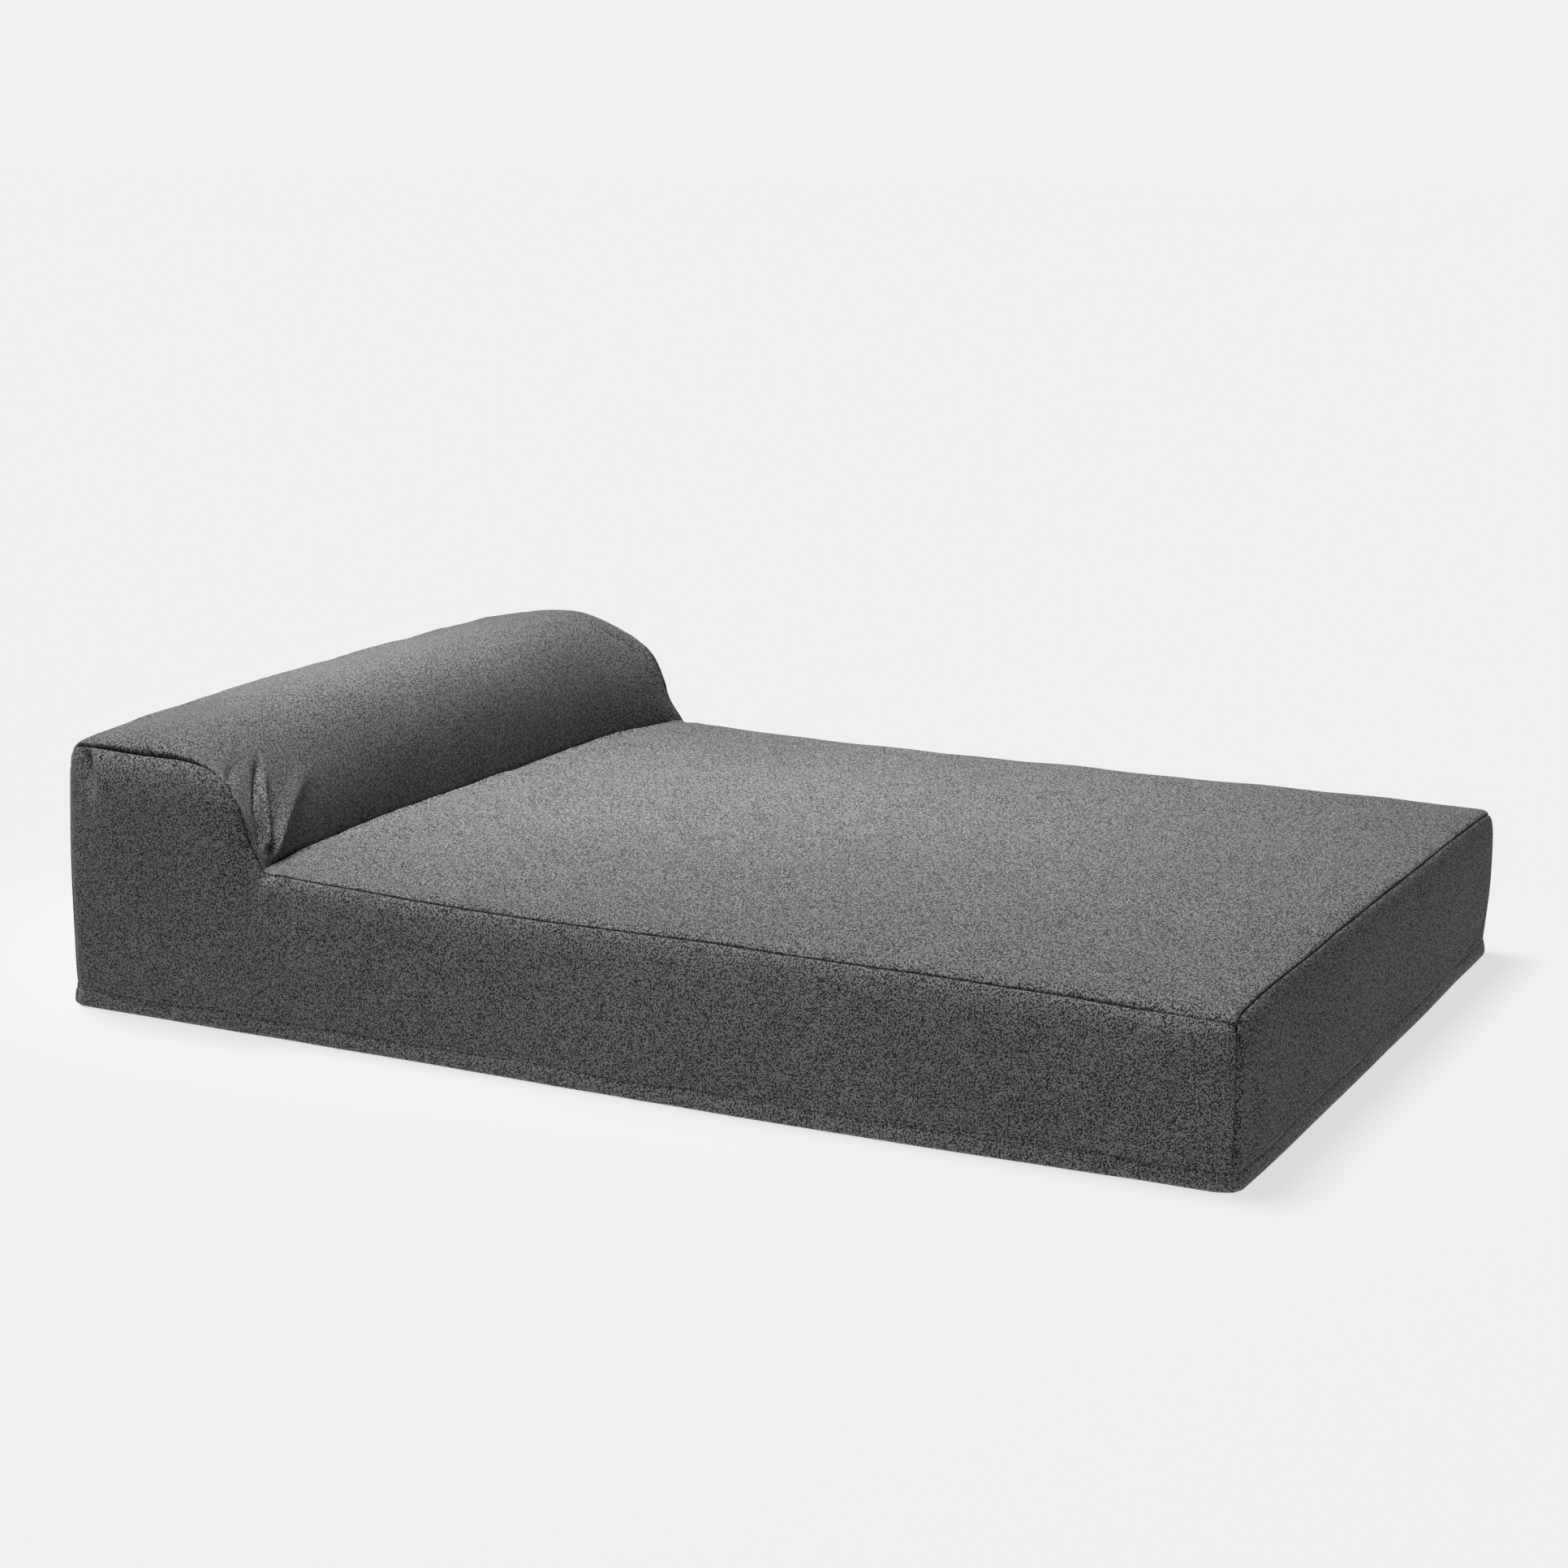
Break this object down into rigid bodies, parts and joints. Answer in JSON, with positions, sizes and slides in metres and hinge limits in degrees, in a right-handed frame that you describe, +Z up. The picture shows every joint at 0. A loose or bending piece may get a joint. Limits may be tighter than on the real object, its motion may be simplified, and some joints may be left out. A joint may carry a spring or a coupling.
{
  "type": "futon sofa bed",
  "caption": "Low foam futon with a raised bolster across its head end, under one fitted dark grey heather cover with seamed side panels, an elastic hem and a zip low on the back.",
  "frame": {"origin": "on the floor, under the middle of the bed's footprint", "axes": "+X runs along the bed from the head end (bolster) to the foot end, +Y across it, +Z up"},
  "size_m": [2, 1.4, 0.48],
  "materials": {
    "cover_cloth": "dark grey heather, flat woven, dry and slightly coarse",
    "base_cloth": "black spun-bonded backing cloth with a fine bonded grid",
    "firm_foam": "open-cell polyurethane foam, firm, cut with a wire",
    "soft_foam": "open-cell polyurethane foam, soft, cut with a wire",
    "batting": "fibrous cotton batting",
    "loop_strip": "black woven strip with a looped nap",
    "elastic": "white braided elastic",
    "zip_tape": "fine black knitted tape",
    "zip_coil": "dark nylon coil, slight sheen",
    "zip_metal": "gunmetal enamel on cast zinc, worn a little at the edges"
  },
  "bodies": {
    "bed": {"support_foam": "firm_foam", "comfort_foam": "soft_foam", "seat_batting": "batting", "bolster_foam": "firm_foam", "bolster_batting": "batting", "crease_loop_strip": "loop_strip", "crease_tuck_strip": "loop_strip", "cover_top_panel": "cover_cloth", "cover_near_side": "cover_cloth", "cover_far_side": "cover_cloth", "cover_foot_panel": "cover_cloth", "cover_head_panel": "cover_cloth", "hem_band_near": "cover_cloth", "hem_band_far": "cover_cloth", "hem_band_foot": "cover_cloth", "hem_band_head": "cover_cloth", "hem_elastic": "elastic", "base_cloth": "base_cloth", "zip_facing_upper": "cover_cloth", "zip_facing_lower": "cover_cloth", "zip_tape_upper": "zip_tape", "zip_tape_lower": "zip_tape", "zip_coil_upper": "zip_coil", "zip_coil_lower": "zip_coil", "zip_top_stops": "zip_metal", "zip_bottom_stop": "zip_metal", "zip_end_tabs": "zip_tape"},
    "zip_slider": {"zip_slider": "zip_metal", "zip_slider_pin": "zip_metal"},
    "zip_pull": {"zip_pull_tab": "zip_metal"}
  },
  "joints": [
    {"name": "zip_slide", "type": "slide", "parent": "bed", "child": "zip_slider", "axis": [0, 1, 0], "range_m": [0, 1.2]},
    {"name": "pull_swing", "type": "hinge", "parent": "zip_slider", "child": "zip_pull", "pos_m": [-0.99795, -0.598, 0.067], "axis": [0, 0, 1], "range_deg": [0, 180]}
  ]
}
